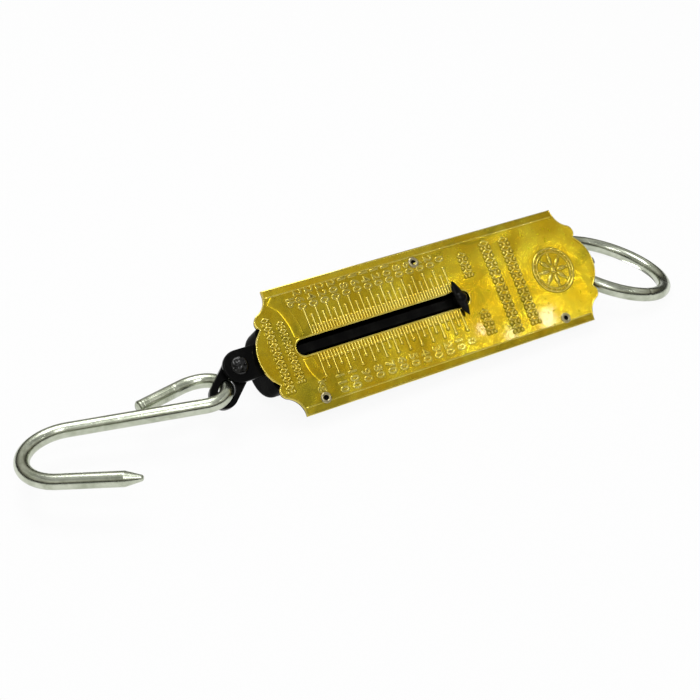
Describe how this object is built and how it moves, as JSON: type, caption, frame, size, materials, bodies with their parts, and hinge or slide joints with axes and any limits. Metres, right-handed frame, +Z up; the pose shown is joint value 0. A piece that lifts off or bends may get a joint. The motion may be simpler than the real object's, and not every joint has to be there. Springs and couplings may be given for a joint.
{
  "type": "hanging spring scale",
  "caption": "Pocket balance: a spring scale that hangs from a ring, with a slotted brass face, a sliding pointer, a steel case and a swivelling wire hook for the load.",
  "frame": {"origin": "the seat inside the hanging ring, on the surface of the wire at the point opposite the ring's eye, where the support carries the scale", "axes": "+Z up the long axis, from the hook to the ring; the brass face looks along -Y; +X is to the right as one reads the face"},
  "size_m": [0.0657, 0.0702, 0.3566],
  "materials": {
    "brass_face": "bright stamped sheet with a lacquered shine",
    "black_enamel": "gloss black paint on steel",
    "rivet_metal": "plated tubular rivets",
    "plain_steel": "oiled plain steel",
    "zinc_plate": "bright zinc plate with a faint greenish grey tint"
  },
  "bodies": {
    "ring": {"ring": "zinc_plate"},
    "case": {"face_plate": "brass_face", "rear_case": "black_enamel", "plate_rivet_1": "rivet_metal", "plate_rivet_2": "rivet_metal", "plate_rivet_3": "rivet_metal", "bar_guide": "black_enamel", "spring": "plain_steel", "spring_upper_plug": "plain_steel", "ring_eye": "black_enamel", "lock_pin": "plain_steel"},
    "draw_bar": {"draw_bar": "black_enamel", "pointer": "black_enamel", "pointer_stud": "black_enamel", "pointer_collar": "black_enamel", "spring_lower_plug": "plain_steel", "plug_screw": "plain_steel", "hook_rivet": "black_enamel", "rivet_washer": "black_enamel"},
    "link": {"swivel_link": "black_enamel"},
    "hook": {"hook": "zinc_plate"}
  },
  "joints": [
    {"name": "ring_swing", "type": "hinge", "parent": "ring", "child": "case", "pos_m": [-0.00847, -0.01346, -0.05533], "axis": [0.7396, -0.673, 0], "range_deg": [-18, 75]},
    {"name": "draw_slide", "type": "slide", "parent": "case", "child": "draw_bar", "axis": [0, 0, -1], "range_m": [0, 0.0825], "stiffness_N_per_m": 15400, "deforming": ["spring"]},
    {"name": "link_swing", "type": "hinge", "parent": "draw_bar", "child": "link", "pos_m": [-0.00967, -0.02016, -0.24503], "axis": [0, 1, 0], "range_deg": [-38, 80]},
    {"name": "hook_swing", "type": "hinge", "parent": "link", "child": "hook", "pos_m": [-0.00396, -0.01819, -0.26298], "axis": [0.7464, 0.6647, 0.0332], "range_deg": [-60, 60]}
  ]
}
